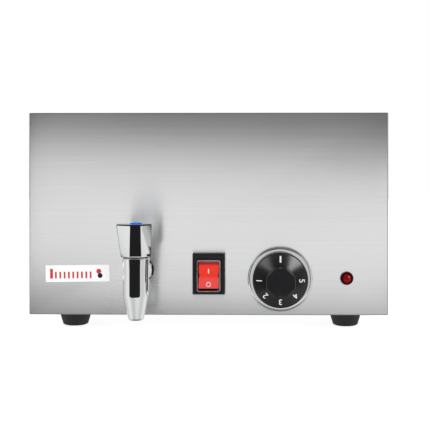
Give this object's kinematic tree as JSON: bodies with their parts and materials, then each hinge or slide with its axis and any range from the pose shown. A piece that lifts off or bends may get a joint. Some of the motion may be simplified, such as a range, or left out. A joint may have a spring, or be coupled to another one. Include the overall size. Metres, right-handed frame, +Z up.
{
  "type": "nacho cheese dispenser",
  "caption": "Countertop stainless water-bath warmer with lift-out food pan and lid, front drain tap, rocker switch, thermostat knob, pilot lamp and rubber feet.",
  "frame": {"origin": "on the counter, midway across the whole object with its tap and stored cord", "axes": "+Z up; +X to the right seen from the front; the control panel and tap face -Y"},
  "size_m": [0.338, 0.6446, 0.2165],
  "materials": {
    "brushed_steel": "horizontally brushed stainless sheet",
    "pressed_steel": "pressed stainless, satin",
    "zinc_steel": "zinc-plated or plain steel",
    "chrome": "polished chrome plate",
    "brass": "plain brass",
    "black_plastic": "gloss black",
    "black_rubber": "matte black",
    "red_lens": "translucent red",
    "dark_red_lens": "dark translucent red",
    "blue_plastic": "gloss blue",
    "clear_cover": "clear flexible plastic",
    "white_label": "white vinyl sticker",
    "white_ceramic": "off-white ceramic"
  },
  "bodies": {
    "casing": {"front_casing": "brushed_steel", "rear_panel": "brushed_steel", "top_deck": "brushed_steel", "water_well": "pressed_steel", "base_plate": "zinc_steel", "foot_screw_front_left": "zinc_steel", "foot_screw_front_right": "zinc_steel", "foot_screw_rear_left": "zinc_steel", "foot_screw_rear_right": "zinc_steel", "base_screw_front_left": "zinc_steel", "base_screw_front_right": "zinc_steel", "base_screw_rear_left": "zinc_steel", "base_screw_rear_right": "zinc_steel", "rear_screw_lower_left": "zinc_steel", "rear_screw_lower_right": "zinc_steel", "rear_screw_upper_left": "zinc_steel", "rear_screw_upper_right": "zinc_steel", "thermostat_body": "zinc_steel", "thermostat_screw_left": "zinc_steel", "thermostat_screw_right": "zinc_steel", "lamp_clip": "zinc_steel", "heating_element": "zinc_steel", "knob_bezel": "chrome", "tap_body": "chrome", "tap_cartridge": "brass", "tap_locknut": "brass", "element_nut_left": "brass", "element_nut_right": "brass", "thermostat_bulb": "brass", "plug_pin_live": "brass", "plug_pin_neutral": "brass", "plug_pin_earth": "brass", "switch_housing": "black_plastic", "lamp_body": "black_plastic", "limit_cutout": "black_plastic", "cord_gland": "black_plastic", "cord_tie": "black_plastic", "plug_body": "black_plastic", "foot_front_left": "black_rubber", "foot_front_right": "black_rubber", "foot_rear_left": "black_rubber", "foot_rear_right": "black_rubber", "tap_seal_outer": "black_rubber", "tap_seal_inner": "black_rubber", "wiring_loom": "black_rubber", "power_cord": "black_rubber", "lamp_lens": "dark_red_lens", "switch_cover": "clear_cover", "label": "white_label", "terminal_block": "white_ceramic"},
    "thermostat_knob": {"knob": "black_plastic", "thermostat_spindle": "zinc_steel"},
    "switch_paddle": {"switch_rocker": "red_lens"},
    "tap_lever": {"tap_handle": "chrome", "tap_spindle": "brass", "tap_index_cap": "blue_plastic", "tap_handle_screw": "zinc_steel"},
    "food_pan": {"food_pan": "pressed_steel"},
    "lid": {"pan_lid": "brushed_steel", "lid_handle": "chrome"}
  },
  "joints": [
    {"name": "knob_turn", "type": "hinge", "parent": "casing", "child": "thermostat_knob", "pos_m": [0.0675, -0.28, 0.0491], "axis": [0, 1, 0], "range_deg": [0, 270]},
    {"name": "switch_rock", "type": "hinge", "parent": "casing", "child": "switch_paddle", "pos_m": [0.0008, -0.2725, 0.0525], "axis": [1, 0, 0], "range_deg": [0, 20]},
    {"name": "tap_turn", "type": "hinge", "parent": "casing", "child": "tap_lever", "pos_m": [-0.0628, -0.306, 0.09], "axis": [0, 0, 1], "range_deg": [0, 90]},
    {"name": "pan_lift", "type": "slide", "parent": "casing", "child": "food_pan", "axis": [0, 0, 1], "range_m": [0, 0.12]},
    {"name": "lid_lift", "type": "slide", "parent": "food_pan", "child": "lid", "axis": [0, 0, 1], "range_m": [0, 0.06]}
  ]
}
